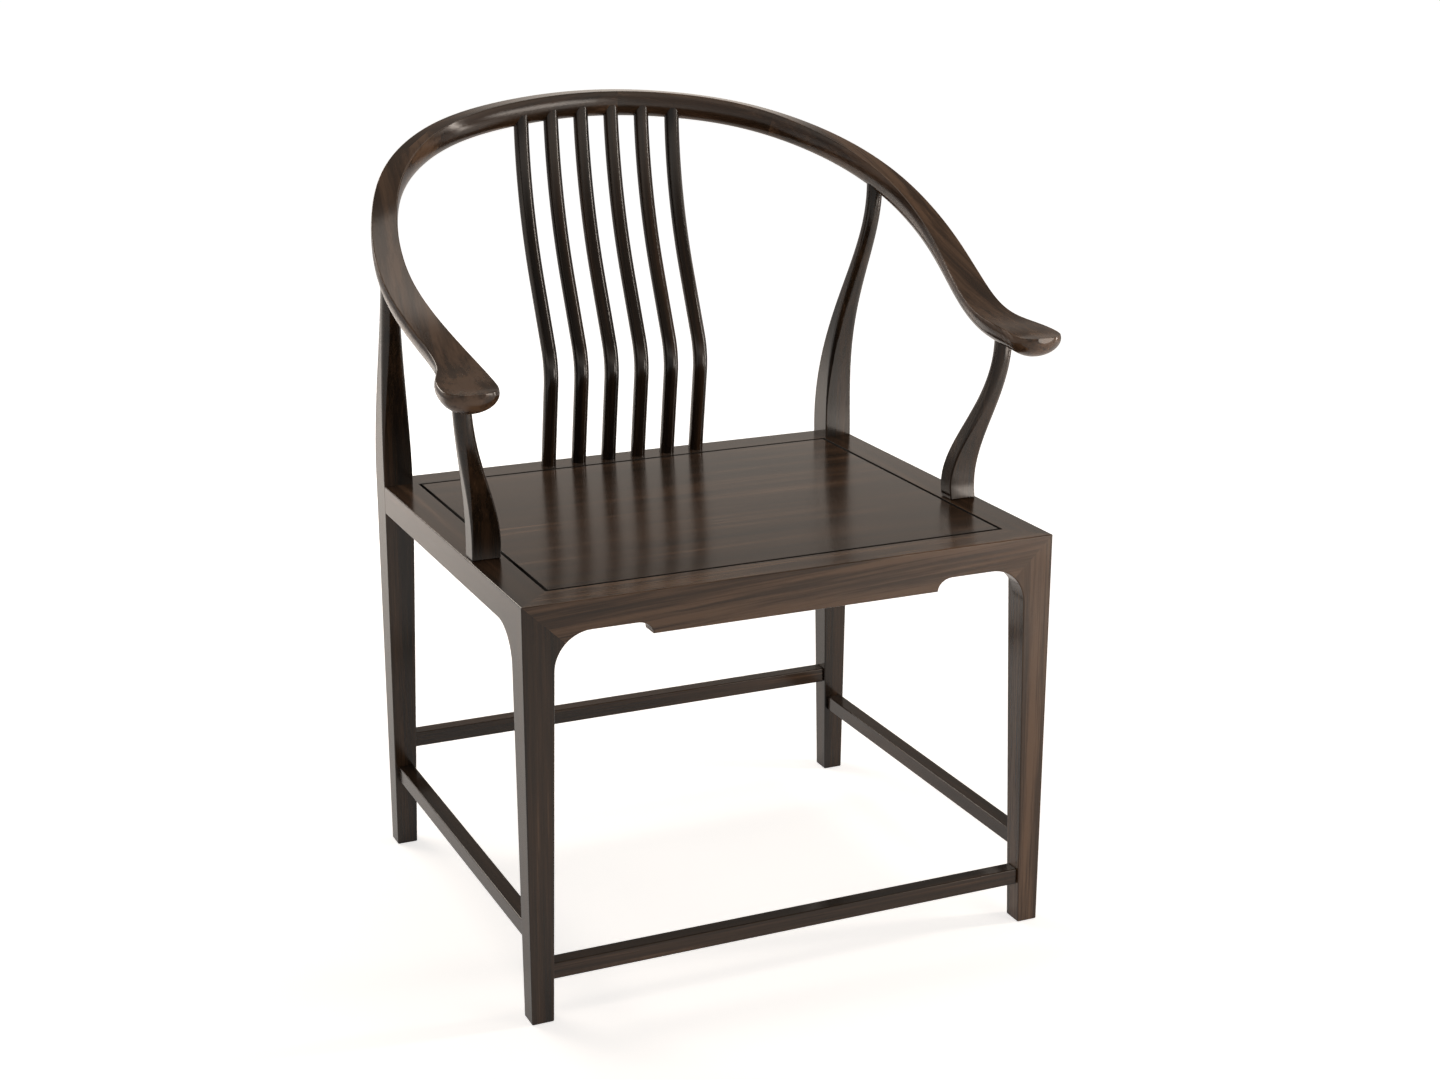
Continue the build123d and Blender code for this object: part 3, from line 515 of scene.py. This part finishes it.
def makeWorld():
    world = bpy.data.worlds.new("studioWhite")
    bpy.context.scene.world = world
    world.use_nodes = True
    tree = world.node_tree
    tree.nodes.clear()
    path, looked = lookedAt(tree)
    direction = addNode(tree, "ShaderNodeTexCoord")
    split = addNode(tree, "ShaderNodeSeparateXYZ", None, {0: direction.outputs["Generated"]})
    room = addNode(tree, "ShaderNodeMapRange", {"interpolation_type": "SMOOTHSTEP"}, {
        "Value": split.outputs["Z"],
        "From Min": studio["wallHeight"], "From Max": studio["wallHeight"] + studio["wallBlend"],
        "To Min": 1.0, "To Max": studio["ceiling"]})
    seen = addNode(tree, "ShaderNodeMath", {"operation": "MAXIMUM"}, {
        0: room.outputs[0], 1: path.outputs["Is Camera Ray"]})
    lit = addNode(tree, "ShaderNodeMath", {"operation": "MULTIPLY"}, {
        0: room.outputs[0], 1: studio["diffuseLight"]})
    strength = addNode(tree, "ShaderNodeMix", {"data_type": "FLOAT"}, {
        "Factor": looked, "A": lit.outputs[0], "B": seen.outputs[0]})
    tint = addNode(tree, "ShaderNodeMix", {"data_type": "RGBA"}, {
        "Factor": path.outputs["Is Camera Ray"],
        "A": hexToLinear(studio["roomColour"]), "B": (1, 1, 1, 1)})
    sky = addNode(tree, "ShaderNodeBackground", None, {
        "Color": tint.outputs["Result"], "Strength": strength.outputs[0]})
    addNode(tree, "ShaderNodeOutputWorld", None, {"Surface": sky.outputs[0]})


view = {
    "place": (-0.9713, -2.2669, 1.1577),    # metres, in front of the chair and to its left
    "down": 17.04,                          # degrees below level
    "turn": -24.04,                         # degrees from straight ahead
    "lens": 56.8,                           # mm
    "sensor": 36.0,
}


def makeCamera():
    lens = bpy.data.cameras.new("camera")
    lens.lens, lens.sensor_width = view["lens"], view["sensor"]
    camera = bpy.data.objects.new("camera", lens)
    camera.location = view["place"]
    camera.rotation_euler = (math.radians(90 - view["down"]), 0, math.radians(view["turn"]))
    bpy.context.scene.collection.objects.link(camera)
    bpy.context.scene.camera = camera


makeLamps()
makeFloor()
makeWorld()
makeCamera()
bpy.context.scene.view_settings.view_transform = "Standard"
print("studio ready")
